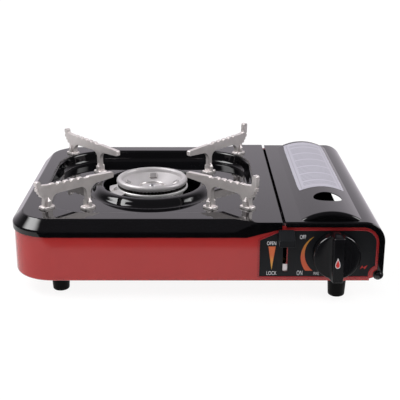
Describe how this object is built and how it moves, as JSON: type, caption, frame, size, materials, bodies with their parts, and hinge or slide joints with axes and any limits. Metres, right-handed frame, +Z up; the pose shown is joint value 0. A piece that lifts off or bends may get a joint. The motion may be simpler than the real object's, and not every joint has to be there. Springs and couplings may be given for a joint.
{
  "type": "portable gas stove",
  "caption": "Tabletop butane cassette stove: red pressed tray, black enamel drip plate with cast pan supports round one burner, hinged cartridge lid, front knob and lock lever.",
  "frame": {"origin": "centre of the bounding box's footprint, on the table plane the rubber feet stand on", "axes": "+X to the right along the width, towards the cartridge lid; +Y to the rear, away from the knob; +Z up"},
  "size_m": [0.345, 0.2888, 0.11],
  "materials": {
    "red_paint": "semi-gloss red enamel paint on pressed steel",
    "black_enamel": "high-gloss black enamel",
    "panel_black": "satin black printed panel",
    "zinc_steel": "zinc-plated sheet steel",
    "bright_steel": "bright pressed stainless steel",
    "port_steel": "darkened port ring",
    "burner_alloy": "as-cast aluminium",
    "silver_casting": "die-cast, silver-grey coated",
    "brass": "turned brass",
    "black_plastic": "satin moulded plastic",
    "lead_sleeve": "silicone sleeve",
    "white_ceramic": "glazed white porcelain",
    "black_pin": "black painted rivet head",
    "black_rubber": "moulded rubber"
  },
  "bodies": {
    "stove": {"body_shell": "red_paint", "control_panel": "panel_black", "partition_wall": "zinc_steel", "cartridge_cradle": "zinc_steel", "top_plate": "black_enamel", "support_front_left": "silver_casting", "support_front_right": "silver_casting", "support_rear_left": "silver_casting", "support_rear_right": "silver_casting", "support_screws": "zinc_steel", "plate_screws": "zinc_steel", "burner_base": "burner_alloy", "port_ring": "port_steel", "burner_cup": "bright_steel", "burner_hub": "bright_steel", "burner_screw": "zinc_steel", "cup_clips": "bright_steel", "burner_bracket": "zinc_steel", "venturi_tube": "zinc_steel", "jet_holder": "burner_alloy", "jet_nozzle": "brass", "gas_pipe": "brass", "regulator_body": "burner_alloy", "regulator_cap": "zinc_steel", "gas_inlet": "brass", "collar_guide": "zinc_steel", "piezo_igniter": "black_plastic", "ignition_lead": "lead_sleeve", "electrode_insulator": "white_ceramic", "spark_electrode": "bright_steel", "electrode_bracket": "bright_steel", "lever_bracket": "zinc_steel", "lever_pivot_pin": "zinc_steel", "carriage_studs": "black_pin", "hinge_pin_front": "black_pin", "hinge_pin_rear": "black_pin", "foot_front_left": "black_rubber", "foot_front_right": "black_rubber", "foot_rear_left": "black_rubber", "foot_rear_right": "black_rubber", "foot_screws": "zinc_steel"},
    "lid": {"lid": "black_enamel"},
    "knob": {"knob": "black_plastic", "valve_spindle": "brass", "igniter_cam": "black_plastic"},
    "lock_lever": {"lever_plate": "zinc_steel", "lever_drive_pin": "zinc_steel", "lever_cap": "black_plastic"},
    "carriage": {"cartridge_carriage": "zinc_steel"}
  },
  "joints": [
    {"name": "lid_hinge", "type": "hinge", "parent": "stove", "child": "lid", "pos_m": [0.1677, 0, 0.0248], "axis": [0, 1, 0], "range_deg": [0, 95]},
    {"name": "knob_turn", "type": "hinge", "parent": "stove", "child": "knob", "pos_m": [0.1275, -0.13, 0.04635], "axis": [0, -1, 0], "range_deg": [0, 120]},
    {"name": "lever_hinge", "type": "hinge", "parent": "stove", "child": "lock_lever", "pos_m": [0.0819, -0.08485, 0.05], "axis": [1, 0, 0], "range_deg": [0, 25]},
    {"name": "carriage_slide", "type": "slide", "parent": "stove", "child": "carriage", "axis": [0, -1, 0], "range_m": [0, 0.0074]}
  ],
  "couplings": [
    {"joint": "carriage_slide", "follows": "lever_hinge", "m_per_rad": 0.016865}
  ]
}
